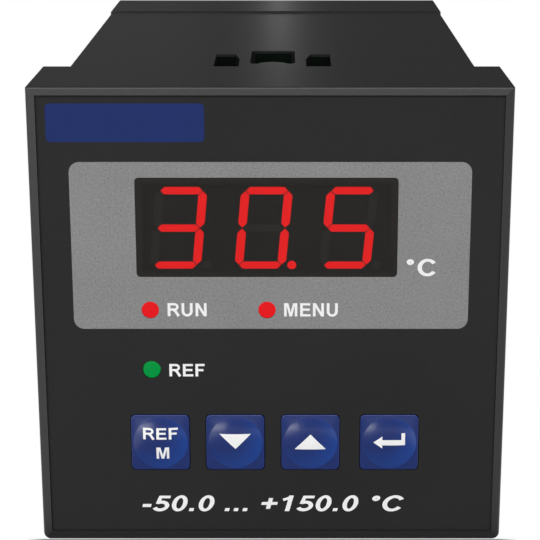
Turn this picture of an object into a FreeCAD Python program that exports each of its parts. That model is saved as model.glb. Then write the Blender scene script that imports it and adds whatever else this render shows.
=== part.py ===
import FreeCAD, Part
import math
import os

from FreeCAD import Vector

os.makedirs("parts", exist_ok=True)

# X runs to the right seen from the front, Y to the back, Z up. Sizes in mm.
# The origin is the centre of the bezel's rear plane, where the instrument seats on its panel.

# Fits
slip = 0.1                      # gap round pieces that slide or drop in
snug = 0.05                     # gap round pieces held without play
past = 1.0                      # cuts run on past the faces that they open

# Bezel and sleeve
front_size = 48.0
bezel_depth = 13.2
bezel_top_radius = 0.1          # the upper corners are nearly sharp
bezel_foot_radius = 0.75        # the lower corners are rounder
bezel_overhang = 1.55           # bezel stands out past the sleeve on each side
rim_width = 0.9                 # border left round the front sheet
rim_round = 0.18                # outer edge of the border, turned in two short steps
front_wall = 2.0
sleeve_length = 57.9
sleeve_wall = 1.8
sleeve_corner_radius = 0.2

# Openings for the mounting clamp, the same in roof and floor
clamp_slot_half = 2.52
clamp_slot_front = 11.9
clamp_slot_rear = 21.7
clamp_slot_corner = 0.4
clamp_slot_bow = 1.3            # the front edge bows back in the middle
clamp_slot_bow_half = 1.7
clamp_hole_inner = 3.75
clamp_hole_width = 2.8
clamp_hole_front = 8.35
clamp_hole_rear = 19.0
clamp_hole_taper = 0.55
clamp_hole_taper_length = 3.8
clamp_lip = 0.3                 # thickness left at the rear edge, where the clamp hooks under
clamp_undercut = 1.2

# Sealing ring behind the bezel
gasket_inset = 0.4
gasket_thickness = 1.0
gasket_corner_radius = 0.35

# Front sheet
overlay_step = 0.2              # the sheet lies this far behind the rim
overlay_thickness = 0.4
sheet_gap = 0.02                # left round the glued sheet
sheet_lift = 0.1                # the sheet lies a little above the middle of the front

# Digits and window
digit_count = 3
digit_spacing = 8.545
digit_width = 4.31              # between the centre lines of the upright bars
digit_height = 7.70             # between the centre lines of the top and bottom bars
digit_stroke = 0.85             # upright bars
digit_rule = 0.75               # level bars
digit_slant = 0.094
segment_gap = 0.06
segment_depth = 0.5
point_radius = 0.46
point_offset = 3.19
display_margin_x = 1.2
display_margin_z = 0.44
display_depth = 8.0
display_pin_rows = 7.62
display_pin_spacing = 2.54
display_pin_count = 5
window_place = (-0.0080, 0.2045)        # across and up from the middle, in shares of the front
window_ledge = 0.3
window_corner_radius = 0.35
digit_shift_x = -0.315          # digits sit a little left of and below the window's centre
digit_shift_z = -0.15

# Lamps
lamp_radius = 0.9
lamp_reach = 0.8                # the lens ends this far behind the front wall
lamp_lead_spacing = 1.27
lamp_shares = {
    "out_lamp": (-0.2549, 0.0254),
    "prog_lamp": (-0.0080, 0.0254),
    "set_lamp": (-0.2547, -0.1083),
}

# Keys and switches
key_shares = {"set": -0.2393, "down": -0.0775, "up": 0.0847, "enter": 0.2550}
key_row_share = -0.2734
key_size = 5.96
key_corner_radius = 0.45
key_proud = 0.1                 # the square part stands this far out of the sheet
key_travel = 0.5
dome_margin = 0.18              # flat left beside the dome
dome_height = 0.45
dome_steps = 3
dome_sides = 24                 # facets round the dome
round_sides = 12                # facets of the smallest round pieces
key_flange = 0.5
key_flange_thickness = 0.6
key_stem = 3.0
switch_size = 6.0
switch_height = 3.5
switch_edge = 0.3
plunger_size = 3.0
plunger_rise = 0.8
plunger_depth = 1.2
foot_length = 0.8
foot_width = 0.7
foot_thickness = 0.25

# Boards
board_thickness = 1.6
board_edge_gap = 0.2
board_inset = 2.45              # from roof or floor to the outer face of a long board
board_space = 1.0               # between the display board and the long boards
lead_size = 0.6
lead_tail = 0.9                 # leads stand out behind a board
lead_recess = 0.3               # header pins end below the display board's front
rail_reach = 1.5
rail_thickness = 1.0
post_inset = 1.7
post_size = 2.8
post_pin = 1.4
post_tail = 0.4
header_pins = 6
header_spacing = 2.54
header_size = 2.5
header_setback = 0.5

# Supply, measuring and output pieces on the boards
part_gap = 0.6                  # between the rails and the pieces beside them
core_y = 33.0
core_width = 16.0
core_height = 18.0
core_thickness = 9.0
core_leg = 5.0
core_yoke = 2.5
coil_build = 2.8
relay_y = 36.0
relay_width = 15.4
relay_length = 19.0
relay_height = 15.6
relay_edge = 0.8
capacitor_y = 13.0
capacitor_radius = 4.0
capacitor_height = 12.0
capacitor_lead_spacing = 3.5
rectifier_y = 14.0
rectifier_width = 6.4
rectifier_length = 8.3
rectifier_height = 3.2
rectifier_lead_spacing = 5.08
regulator_y = 14.0
regulator_size = 6.5
regulator_height = 1.6
controller_y = 34.0
controller_length = 12.8
controller_width = 7.5
controller_height = 2.3
controller_feet = 10
amplifier_y = 46.0
amplifier_length = 4.9
amplifier_width = 3.9
amplifier_height = 1.5
amplifier_feet = 4
chip_foot_spacing = 1.27
chip_foot_width = 0.42
chip_foot_reach = 1.1

# Terminal blocks
terminal_count = 5
terminal_spacing = 5.0
block_end_wall = 0.8
block_height = 10.0
block_depth = 13.0
block_recess = 0.3              # the block's face lies this far inside the cover's rear face
wire_level = 3.0                # above the board
wire_width = 3.3
wire_height = 3.5
screw_level = 7.3
screw_way = 3.4
screw_head_radius = 1.5
screw_head_height = 1.4
screw_slot_width = 0.5
screw_slot_depth = 0.6
clamp_wall = 0.45
clamp_depth = 4.8
clamp_setback = 4.5
tongue_margin = 1.0
tongue_setback = 3.0

# Rear cover
cover_length = 12.7
cover_step = 0.16               # the cover stands proud of the sleeve on each side
cover_wall = 2.2
cover_back = 2.0
cover_shoulder = 1.6
cover_corner_radius = 0.2
cover_edge = 0.15
skirt_length = 4.0
skirt_gap = 0.5                 # boards and rails end this far before the skirt
skirt_wall = 1.4
snap_length = 8.0
snap_height = 0.5
snap_half_width = 0.7

# Planes across the depth
face_y = -bezel_depth
overlay_front = face_y + overlay_step
wall_front = overlay_front + overlay_thickness
wall_rear = wall_front + front_wall
display_face = wall_front + snug
board_front = display_face + display_depth
board_rear = board_front + board_thickness
long_board_front = board_rear + board_space
cover_front = sleeve_length
cover_rear = cover_front + cover_length
skirt_front = cover_front - skirt_length
block_rear = cover_rear - block_recess
block_front = block_rear - block_depth
clamp_rear = block_rear - clamp_setback
clamp_front = clamp_rear - clamp_depth

# Sizes across the section
recess_size = front_size - 2 * rim_width
sleeve_size = front_size - 2 * bezel_overhang
cavity_size = sleeve_size - 2 * sleeve_wall
cavity_half = cavity_size / 2
cover_size = sleeve_size + 2 * cover_step
skirt_size = cavity_size - 2 * slip
skirt_inner = skirt_size - 2 * skirt_wall
board_outer = cavity_half - board_inset
board_inner = board_outer - board_thickness
floor = -board_inner                          # upper face of the power board
tail_end = -board_outer - lead_tail
block_width = terminal_count * terminal_spacing + 2 * block_end_wall
block_z = floor + block_height / 2
post_place = cavity_half - post_inset
part_limit = cavity_half - rail_reach - part_gap
core_x = core_width / 2 - part_limit
relay_x = part_limit - relay_width / 2
capacitor_x = part_limit - capacitor_radius
rectifier_x = rectifier_width / 2 - part_limit
regulator_x = part_limit - regulator_size / 2
controller_x = controller_width / 2 + chip_foot_reach - part_limit
amplifier_x = part_limit - amplifier_width / 2 - chip_foot_reach

# Places on the face follow the front's size
window_x = window_place[0] * front_size
window_z = window_place[1] * front_size
lamp_places = {name: (x * front_size, z * front_size) for name, (x, z) in lamp_shares.items()}
key_places = {name: share * front_size for name, share in key_shares.items()}
key_row_z = key_row_share * front_size

# Display and window sizes follow from the digits
digit_span = (digit_count - 1) * digit_spacing
display_width = digit_span + digit_width + digit_stroke + digit_slant * digit_height + 2 * display_margin_x
display_height = digit_height + digit_rule + 2 * display_margin_z
opening_width = display_width + 2 * slip
opening_height = display_height + 2 * slip
window_width = opening_width + 2 * window_ledge
window_height = opening_height + 2 * window_ledge

# Planes of the keys, from the sheet in to the switch
key_front = overlay_front - key_proud
flange_front = wall_rear + snug
flange_rear = flange_front + key_flange_thickness
switch_front = board_front - switch_height
plunger_front = switch_front - plunger_rise


def box(x0, x1, y0, y1, z0, z1):
    return Part.makeBox(x1 - x0, y1 - y0, z1 - z0, Vector(x0, y0, z0))


def block(x, z, width, height, y0, y1):
    return box(x - width / 2, x + width / 2, y0, y1, z - height / 2, z + height / 2)


def tower(x, y, width, length, z0, z1):
    return box(x - width / 2, x + width / 2, y - length / 2, y + length / 2, z0, z1)


def rod_y(x, z, radius, y0, y1):
    return Part.makeCylinder(radius, y1 - y0, Vector(x, y0, z), Vector(0, 1, 0))


def rod_z(x, y, radius, z0, z1):
    return Part.makeCylinder(radius, z1 - z0, Vector(x, y, z0), Vector(0, 0, 1))


def prism(points, along):
    outline = Part.makePolygon(points + points[:1])
    return Part.Face(outline).extrude(along)


def rounded_wire(x, z, width, height, top_radius, foot_radius, y):
    solid = block(x, z, width, height, y, y + past)
    for side, radius in ((1, top_radius), (-1, foot_radius)):
        along = [edge for edge in solid.Edges if abs(edge.tangentAt(edge.FirstParameter).y) > 0.9]
        solid = solid.makeFillet(radius, [edge for edge in along if side * (edge.CenterOfMass.z - z) > 0])
    front = min(solid.Faces, key=lambda face: face.CenterOfMass.y)
    return front.OuterWire


def rounded_prism(x, z, width, height, top_radius, foot_radius, y0, y1):
    outline = rounded_wire(x, z, width, height, top_radius, foot_radius, y0)
    return Part.Face(outline).extrude(Vector(0, y1 - y0, 0))


def soft_prism(x, z, width, height, radius, y0, y1):
    # corners turn in two short steps
    half_x = width / 2
    half_z = height / 2
    step = radius * (1 - math.sqrt(0.5))
    corner = [(half_x, half_z - radius), (half_x - step, half_z - step), (half_x - radius, half_z)]
    points = []
    for side_x, side_z in ((1, 1), (-1, 1), (-1, -1), (1, -1)):
        turn = corner if side_x * side_z > 0 else corner[::-1]
        points += [Vector(x + side_x * dx, y0, z + side_z * dz) for dx, dz in turn]
    return prism(points, Vector(0, y1 - y0, 0))


def ring(x, z, radius, sides, y):
    angles = [2 * math.pi * index / sides for index in range(sides)]
    return [Vector(x + radius * math.cos(angle), y, z + radius * math.sin(angle)) for angle in angles]


def facet_rod(x, z, radius, y0, y1):
    return prism(ring(x, z, radius, round_sides, y0), Vector(0, y1 - y0, 0))


def facet(*points):
    return Part.Face(Part.makePolygon(list(points) + [points[0]]))


def fuse(*shapes):
    return shapes[0].fuse(list(shapes[1:])).removeSplitter()


def flipped(shape):
    return shape.mirror(Vector(0, 0, 0), Vector(0, 0, 1))


def edges_at(shape, y):
    return [edge for edge in shape.Edges if edge.BoundBox.YMin > y - 1e-6 and edge.BoundBox.YMax < y + 1e-6]


def export(name, *solids):
    shape = solids[0] if len(solids) == 1 else Part.makeCompound(list(solids))
    shape.exportStep("parts/" + name + ".step")


def row(count, pitch):
    return [(index - (count - 1) / 2) * pitch for index in range(count)]


# Places of leads that pass through the boards
display_x = window_x
display_z = window_z
display_leads = [
    (display_x + x, display_z + z)
    for x in row(display_pin_count, display_pin_spacing)
    for z in row(2, display_pin_rows)
]
lamp_leads = [
    (x + offset, z)
    for x, z in lamp_places.values()
    for offset in row(2, lamp_lead_spacing)
]
header_z = board_inner - header_size / 2
header_x = row(header_pins, header_spacing)
header_front = long_board_front + header_setback
header_y = header_front + header_size / 2
terminal_x = row(terminal_count, terminal_spacing)
clamp_pin_y = clamp_front + clamp_depth / 2
coil_leads = [
    (core_x + x, core_y + y)
    for x in row(2, core_leg + coil_build)
    for y in row(2, core_thickness + coil_build)
]
relay_leads = [
    (relay_x + x, relay_y + y)
    for x in row(2, relay_width - 4 * relay_edge)
    for y in row(2, relay_length - 5 * relay_edge)
]
capacitor_leads = [(capacitor_x, capacitor_y + y) for y in row(2, capacitor_lead_spacing)]
rectifier_leads = [
    (rectifier_x + x, rectifier_y + y)
    for x in row(2, rectifier_lead_spacing)
    for y in row(2, rectifier_lead_spacing)
]


def lead_down(x, y, z_top, size=lead_size):
    return tower(x, y, size, size, tail_end, z_top)


def lead_hole_down(x, y):
    hole = lead_size + 2 * slip
    return tower(x, y, hole, hole, -board_outer - past, floor + past)


# Housing: bezel and sleeve in one moulding
def rim():
    step = rim_round * (1 - math.sqrt(0.5))
    outlines = []
    for inset, setback in ((0, rim_round), (step, step), (rim_round, 0)):
        size = front_size - 2 * inset
        foot = bezel_foot_radius - inset
        outlines.append(rounded_wire(0, 0, size, size, bezel_top_radius, foot, face_y + setback))
    return Part.makeLoft(outlines, True, True)


def clamp_cutters():
    roof = sleeve_size / 2
    low = cavity_half - past
    rise = Vector(0, 0, sleeve_wall + 2 * past)
    half = clamp_slot_half
    corner = clamp_slot_corner
    front = clamp_slot_front
    rear = clamp_slot_rear
    bow = clamp_slot_bow_half
    arc = Part.Arc(Vector(bow, front, low), Vector(0, front + clamp_slot_bow, low), Vector(-bow, front, low))
    corners = [
        (-bow, front), (-half + corner, front), (-half, front + corner),
        (-half, rear - corner), (-half + corner, rear), (half - corner, rear), (half, rear - corner),
        (half, front + corner), (half - corner, front), (bow, front),
    ]
    path = Part.makePolygon([Vector(x, y, low) for x, y in corners])
    slot = Part.Face(Part.Wire([arc.toShape()] + path.Edges)).extrude(rise)

    inner = clamp_hole_inner
    outer = inner + clamp_hole_width
    hole_corners = [
        (inner, clamp_hole_front), (outer, clamp_hole_front), (outer, clamp_hole_rear),
        (inner + clamp_hole_taper, clamp_hole_rear), (inner, clamp_hole_rear - clamp_hole_taper_length),
    ]
    holes = [prism([Vector(side * x, y, low) for x, y in hole_corners], rise) for side in (-1, 1)]

    def hook_seat(x0, x1, y):
        profile = [
            Vector(x0, y - past, roof - clamp_lip), Vector(x0, y, roof - clamp_lip),
            Vector(x0, y + clamp_undercut, cavity_half - snug), Vector(x0, y - past, cavity_half - snug),
        ]
        return prism(profile, Vector(x1 - x0, 0, 0))

    seats = [hook_seat(-half + corner, half - corner, rear)]
    seats.append(hook_seat(inner + clamp_hole_taper, outer, clamp_hole_rear))
    seats.append(hook_seat(-outer, -inner - clamp_hole_taper, clamp_hole_rear))
    return [slot] + holes + seats


def rails():
    length = (long_board_front, skirt_front - skirt_gap)
    wall = cavity_half + sleeve_wall / 2
    inner = cavity_half - rail_reach
    pieces = []
    for side in (-1, 1):
        x0, x1 = sorted((side * inner, side * wall))
        for z0 in (board_outer + slip, board_inner - slip - rail_thickness):
            pieces.append(box(x0, x1, *length, z0, z0 + rail_thickness))
            pieces.append(box(x0, x1, *length, -z0 - rail_thickness, -z0))
    return pieces


def posts():
    pieces = []
    for x in (-post_place, post_place):
        for z in (-post_place, post_place):
            pieces.append(block(x, z, post_size, post_size, wall_rear - front_wall / 2, board_front))
            pieces.append(block(x, z, post_pin, post_pin, wall_rear, board_rear + post_tail))
    return pieces


def snap_pockets():
    y = (skirt_front + cover_front) / 2
    width = 2 * (snap_half_width + slip)
    depth = snap_height
    pieces = []
    for side in (-1, 1):
        x = side * (cavity_half + depth / 2 - snug)
        pieces.append(tower(x, y, depth + 2 * snug, width, -snap_length / 2 - slip, snap_length / 2 + slip))
    return pieces


land_y = face_y + rim_round
bezel = rounded_prism(0, 0, front_size, front_size, bezel_top_radius, bezel_foot_radius, land_y, 0)
bezel = fuse(bezel, rim())
sleeve_turn = sleeve_corner_radius
sleeve = rounded_prism(0, 0, sleeve_size, sleeve_size, sleeve_turn, sleeve_turn, face_y / 2, sleeve_length)
housing = fuse(bezel, sleeve)

key_hole = key_size + 2 * slip
housing_cuts = [
    block(0, sheet_lift, recess_size, recess_size, face_y - past, wall_front),
    block(0, 0, cavity_size, cavity_size, wall_rear, sleeve_length + past),
    block(window_x, window_z, opening_width, opening_height, wall_front - past, wall_rear + past),
]
for x, z in lamp_places.values():
    lamp_hole = 2 * (lamp_radius + slip)
    housing_cuts.append(block(x, z, lamp_hole, lamp_hole, wall_front - past, wall_rear + past))
for x in key_places.values():
    housing_cuts.append(
        soft_prism(x, key_row_z, key_hole, key_hole, key_corner_radius, wall_front - past, wall_rear + past)
    )
for cutter in clamp_cutters():
    housing_cuts.append(cutter)
    housing_cuts.append(flipped(cutter))
housing_cuts += snap_pockets()
housing = housing.cut(housing_cuts)
housing = fuse(housing, *rails(), *posts())
export("housing", housing)

# Sealing ring
gasket_size = front_size - 2 * gasket_inset
gasket_inner = sleeve_size + 2 * snug
gasket = soft_prism(0, 0, gasket_size, gasket_size, gasket_corner_radius, 0, gasket_thickness)
gasket = gasket.cut(block(0, 0, gasket_inner, gasket_inner, -past, gasket_thickness + past))
export("panel_gasket", gasket)

# Front sheet with openings for window, lamps and keys
sheet_size = recess_size - 2 * sheet_gap
overlay = block(0, sheet_lift, sheet_size, sheet_size, overlay_front, wall_front)
sheet_window = (window_width + 2 * snug, window_height + 2 * snug, window_corner_radius + snug)
overlay_cuts = [soft_prism(window_x, window_z, *sheet_window, overlay_front - past, wall_front + past)]
for x, z in lamp_places.values():
    overlay_cuts.append(rod_y(x, z, lamp_radius + snug, overlay_front - past, wall_front + past))
for x in key_places.values():
    overlay_cuts.append(
        soft_prism(
            x, key_row_z, key_hole, key_hole, key_corner_radius, overlay_front - past, wall_front + past
        )
    )
overlay = overlay.cut(overlay_cuts)
export("front_overlay", overlay)

window = soft_prism(
    window_x, window_z, window_width, window_height, window_corner_radius, overlay_front, wall_front
)
export("display_window", window)


# Display: seven bars and a point per digit, let into the face of the display
def bar_outline(name):
    half_x = digit_width / 2
    half_z = digit_height / 2
    gap = segment_gap
    if name in "agd":
        thick = digit_rule / 2
        z = {"a": half_z, "g": 0, "d": -half_z}[name]
        reach = half_x - gap
        return [
            (-reach, z), (-reach + thick, z + thick), (reach - thick, z + thick),
            (reach, z), (reach - thick, z - thick), (-reach + thick, z - thick),
        ]
    thick = digit_stroke / 2
    x = half_x if name in "bc" else -half_x
    low = gap if name in "bf" else gap - half_z
    high = low + half_z - 2 * gap
    return [
        (x, low), (x + thick, low + thick), (x + thick, high - thick),
        (x, high), (x - thick, high - thick), (x - thick, low + thick),
    ]


def digit_bar(index, name):
    x0 = display_x + digit_shift_x + row(digit_count, digit_spacing)[index]
    z0 = display_z + digit_shift_z
    points = [Vector(x0 + x + digit_slant * z, display_face, z0 + z) for x, z in bar_outline(name)]
    return prism(points, Vector(0, segment_depth, 0))


def digit_point(index):
    x0 = display_x + digit_shift_x + row(digit_count, digit_spacing)[index]
    z = -digit_height / 2
    x = point_offset + digit_slant * z
    place_z = display_z + digit_shift_z + z
    return facet_rod(x0 + x, place_z, point_radius, display_face, display_face + segment_depth)


shown = ["abcdg", "abcdef", "acdfg"]
lit = [digit_bar(index, name) for index, names in enumerate(shown) for name in names]
dark = [
    digit_bar(index, name) for index, names in enumerate(shown) for name in "abcdefg" if name not in names
]
lit.append(digit_point(1))
dark += [digit_point(0), digit_point(2)]
display = block(display_x, display_z, display_width, display_height, display_face, board_front)
display = display.cut(lit + dark)
display_pins = [
    block(x, z, lead_size, lead_size, board_front - past, board_rear + lead_tail) for x, z in display_leads
]
export("led_display", fuse(display, *display_pins))
export("lit_segments", *lit)
export("unlit_segments", *dark)

# Lamps
lamp_rear = wall_rear + lamp_reach
for name, (x, z) in lamp_places.items():
    lens = rod_y(x, z, lamp_radius, overlay_front, lamp_rear)
    leads = [
        block(x + offset, z, lead_size, lead_size, lamp_rear - lamp_reach / 2, board_rear + lead_tail)
        for offset in row(2, lamp_lead_spacing)
    ]
    export(name, fuse(lens, *leads))


# Keys and their switches
def key_dome(x):
    # ball-shaped top in flat facets
    half = key_size / 2 - dome_margin
    ball = (half ** 2 + dome_height ** 2) / (2 * dome_height)
    top = Vector(x, key_front - dome_height, key_row_z)
    rings = []
    for step in range(1, dome_steps + 1):
        radius = half * step / dome_steps
        drop = ball - math.sqrt(ball ** 2 - radius ** 2)
        rings.append(ring(x, key_row_z, radius, dome_sides, top.y + drop))
    rings.append(ring(x, key_row_z, half, dome_sides, flange_front))
    faces = [facet(*rings[-1])]
    for index in range(dome_sides):
        after = (index + 1) % dome_sides
        faces.append(facet(top, rings[0][index], rings[0][after]))
        for near, far in zip(rings, rings[1:]):
            faces.append(facet(near[index], near[after], far[after], far[index]))
    return Part.makeSolid(Part.makeShell(faces))


def key(x):
    cap = soft_prism(x, key_row_z, key_size, key_size, key_corner_radius, key_front, flange_rear)
    dome = key_dome(x)
    flange_size = key_size + 2 * key_flange
    flange = block(x, key_row_z, flange_size, flange_size, flange_front, flange_rear)
    stem = block(x, key_row_z, key_stem, key_stem, flange_front, plunger_front)
    return fuse(cap, dome, flange, stem)


def switch(x):
    body = block(x, key_row_z, switch_size, switch_size, switch_front, board_front)
    body = body.makeChamfer(switch_edge, edges_at(body, switch_front))
    bore_end = switch_front + plunger_depth + key_travel + slip
    bore = plunger_size + 2 * slip
    body = body.cut(block(x, key_row_z, bore, bore, switch_front - past, bore_end))
    foot_height = switch_size + 2 * foot_length
    feet = [
        block(x + offset, key_row_z, foot_width, foot_height, board_front - foot_thickness, board_front)
        for offset in row(2, switch_size - 2 * foot_width)
    ]
    return fuse(body, *feet)


for name, x in key_places.items():
    export(name + "_key", key(x))
    export(name + "_switch", switch(x))
    plunger_rear = switch_front + plunger_depth
    export(name + "_plunger", block(x, key_row_z, plunger_size, plunger_size, plunger_front, plunger_rear))

# Boards
display_board_size = cavity_size - 2 * board_edge_gap
hole_size = lead_size + 2 * slip
display_board_cuts = [
    block(x, z, hole_size, hole_size, board_front - past, board_rear + past)
    for x, z in display_leads + lamp_leads
]
for x in header_x:
    for z in (-header_z, header_z):
        display_board_cuts.append(block(x, z, hole_size, hole_size, board_front - past, board_rear + past))
for x in (-post_place, post_place):
    for z in (-post_place, post_place):
        pin_hole = post_pin + 2 * snug
        display_board_cuts.append(block(x, z, pin_hole, pin_hole, board_front - past, board_rear + past))
display_board = block(0, 0, display_board_size, display_board_size, board_front, board_rear)
export("display_board", display_board.cut(display_board_cuts))


def long_board(leads):
    width = cavity_size - 2 * board_edge_gap
    tongue_width = block_width + 2 * tongue_margin
    main_end = skirt_front - skirt_gap
    main = box(-width / 2, width / 2, long_board_front, main_end, -board_outer, floor)
    tongue_end = block_rear - tongue_setback
    tongue = box(-tongue_width / 2, tongue_width / 2, main_end - past, tongue_end, -board_outer, floor)
    places = leads + [(x, clamp_pin_y) for x in terminal_x] + [(x, header_y) for x in header_x]
    return fuse(main, tongue).cut([lead_hole_down(x, y) for x, y in places])


def header():
    width = header_pins * header_spacing
    base = box(-width / 2, width / 2, header_front, header_front + header_size, floor, floor + header_size)
    pins = []
    for x in header_x:
        pins.append(block(x, -header_z, lead_size, lead_size, board_front + lead_recess, header_y))
        pins.append(lead_down(x, header_y, floor + header_size / 2))
    return fuse(base, *pins)


export("power_board", long_board(coil_leads + relay_leads + capacitor_leads + rectifier_leads))
export("logic_board", flipped(long_board([])))
export("power_header", header())
export("logic_header", flipped(header()))


# Transformer: core with two windows, coil round the middle leg
def transformer():
    core = tower(core_x, core_y, core_width, core_thickness, floor, floor + core_height)
    low = floor + core_yoke
    high = floor + core_height - core_yoke
    space = coil_build + 2 * slip
    for side in (-1, 1):
        x = core_x + side * (core_leg + space) / 2
        core = core.cut(tower(x, core_y, space, core_thickness + 2 * past, low, high))
    leg = (core_leg + 2 * slip, core_thickness + 2 * slip)
    coil = tower(
        core_x, core_y, leg[0] + 2 * coil_build - slip, leg[1] + 2 * coil_build, low + slip, high - slip
    )
    coil = coil.cut(tower(core_x, core_y, *leg, low - past, high + past))
    leads = [lead_down(x, y, low + 2 * slip) for x, y in coil_leads]
    return core, fuse(coil, *leads)


core, coil = transformer()
export("transformer_core", core)
export("transformer_coil", coil)

relay = tower(relay_x, relay_y, relay_width, relay_length, floor, floor + relay_height)
relay_edges = [edge for edge in relay.Edges if edge.BoundBox.ZMax > floor + relay_edge]
relay = relay.makeChamfer(relay_edge, relay_edges)
export("output_relay", fuse(relay, *[lead_down(x, y, floor + relay_edge) for x, y in relay_leads]))

can = rod_z(capacitor_x, capacitor_y, capacitor_radius, floor, floor + capacitor_height)
can_leads = [lead_down(x, y, floor + lead_size) for x, y in capacitor_leads]
export("smoothing_capacitor", fuse(can, *can_leads))

rectifier_top = floor + rectifier_height
rectifier = tower(rectifier_x, rectifier_y, rectifier_width, rectifier_length, floor, rectifier_top)
rectifier_pins = [lead_down(x, y, floor + rectifier_height / 2) for x, y in rectifier_leads]
export("bridge_rectifier", fuse(rectifier, *rectifier_pins))


def chip(x, y, length, width, height, feet):
    body = tower(x, y, width, length, floor + foot_thickness / 2, floor + height)
    reach = width + 2 * chip_foot_reach
    tabs = [
        tower(x, y + offset, reach, chip_foot_width, floor, floor + foot_thickness)
        for offset in row(feet, chip_foot_spacing)
    ]
    return fuse(body, *tabs)


export("microcontroller", flipped(
    chip(controller_x, controller_y, controller_length, controller_width, controller_height, controller_feet)
))
export("input_amplifier", flipped(
    chip(amplifier_x, amplifier_y, amplifier_length, amplifier_width, amplifier_height, amplifier_feet)
))
regulator_top = floor + regulator_height
regulator = tower(regulator_x, regulator_y, regulator_size, regulator_size / 2, floor, regulator_top)
regulator_tab = tower(
    regulator_x, regulator_y + regulator_size / 3,
    regulator_size / 2, regulator_size / 3, floor, floor + foot_thickness,
)
regulator_feet = [
    tower(regulator_x + offset, regulator_y - regulator_size / 3, foot_width, regulator_size / 3,
          floor, floor + foot_thickness)
    for offset in row(3, regulator_size / 3)
]
export("voltage_regulator", flipped(fuse(regulator, regulator_tab, *regulator_feet)))

# Terminal blocks with clamps and screws
wire_z = floor + wire_level
screw_z = floor + screw_level
clamp_width = wire_width + 2 * clamp_wall
clamp_low = wire_z - wire_height / 2 - clamp_wall
clamp_high = screw_z + screw_head_radius + clamp_wall


def terminal_block():
    body = box(-block_width / 2, block_width / 2, block_front, block_rear, floor, floor + block_height)
    half = clamp_width / 2 + snug
    cuts = []
    for x in terminal_x:
        cuts.append(block(x, wire_z, wire_width, wire_height, clamp_rear, block_rear + past))
        cuts.append(block(x, screw_z, screw_way, screw_way, clamp_rear, block_rear + past))
        front = clamp_front - snug
        rear = clamp_rear + snug
        cuts.append(box(x - half, x + half, front, rear, clamp_low - snug, clamp_high + snug))
        cuts.append(tower(x, clamp_pin_y, hole_size, hole_size, floor - past, clamp_low))
    return body.cut(cuts)


def terminal_clamp(x):
    half = clamp_width / 2
    body = box(x - half, x + half, clamp_front, clamp_rear, clamp_low, clamp_high)
    body = body.cut(block(x, wire_z, wire_width, wire_height, clamp_front - past, clamp_rear + past))
    return fuse(body, lead_down(x, clamp_pin_y, clamp_low + snug))


def terminal_screw(x):
    head_rear = clamp_rear + screw_head_height
    head = facet_rod(x, screw_z, screw_head_radius, clamp_rear, head_rear)
    slot = block(x, screw_z, screw_way, screw_slot_width, head_rear - screw_slot_depth, head_rear + past)
    return head.cut(slot)


clamps = [terminal_clamp(x) for x in terminal_x]
screws = [terminal_screw(x) for x in terminal_x]
export("power_terminals", terminal_block())
export("signal_terminals", flipped(terminal_block()))
export("terminal_clamps", *clamps, *[flipped(clamp) for clamp in clamps])
export("terminal_screws", *screws, *[flipped(screw) for screw in screws])


# Rear cover: cap with a skirt that plugs into the sleeve
def rear_cover():
    turn = cover_corner_radius
    cap = rounded_prism(0, 0, cover_size, cover_size, turn, turn, cover_front, cover_rear)
    cap = cap.makeChamfer(cover_edge, edges_at(cap, cover_rear))
    inner = cover_size - 2 * cover_wall
    cap = cap.cut(block(0, 0, inner, inner, cover_front + cover_shoulder, cover_rear - cover_back))
    skirt = block(0, 0, skirt_size, skirt_size, skirt_front, cover_front + cover_shoulder)
    cap = fuse(cap, skirt)
    inside_end = cover_front + cover_shoulder + past
    cap = cap.cut(block(0, 0, skirt_inner, skirt_inner, skirt_front - past, inside_end))
    window_cut = block(
        0, block_z, block_width + 2 * slip, block_height + 2 * slip,
        cover_rear - cover_back - past, cover_rear + past,
    )
    cap = cap.cut([window_cut, flipped(window_cut)])
    y = (skirt_front + cover_front) / 2
    ridges = []
    for side in (-1, 1):
        x = side * skirt_size / 2
        profile = [
            Vector(x - side * skirt_wall / 2, y - snap_half_width, -snap_length / 2),
            Vector(x, y - snap_half_width, -snap_length / 2),
            Vector(x + side * snap_height, y, -snap_length / 2),
            Vector(x, y + snap_half_width, -snap_length / 2),
            Vector(x - side * skirt_wall / 2, y + snap_half_width, -snap_length / 2),
        ]
        ridges.append(prism(profile, Vector(0, 0, snap_length)))
    return fuse(cap, *ridges)


export("rear_cover", rear_cover())
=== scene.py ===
import math

import bmesh
import bpy
from mathutils import Matrix, Vector
from mathutils.geometry import delaunay_2d_cdt


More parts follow.
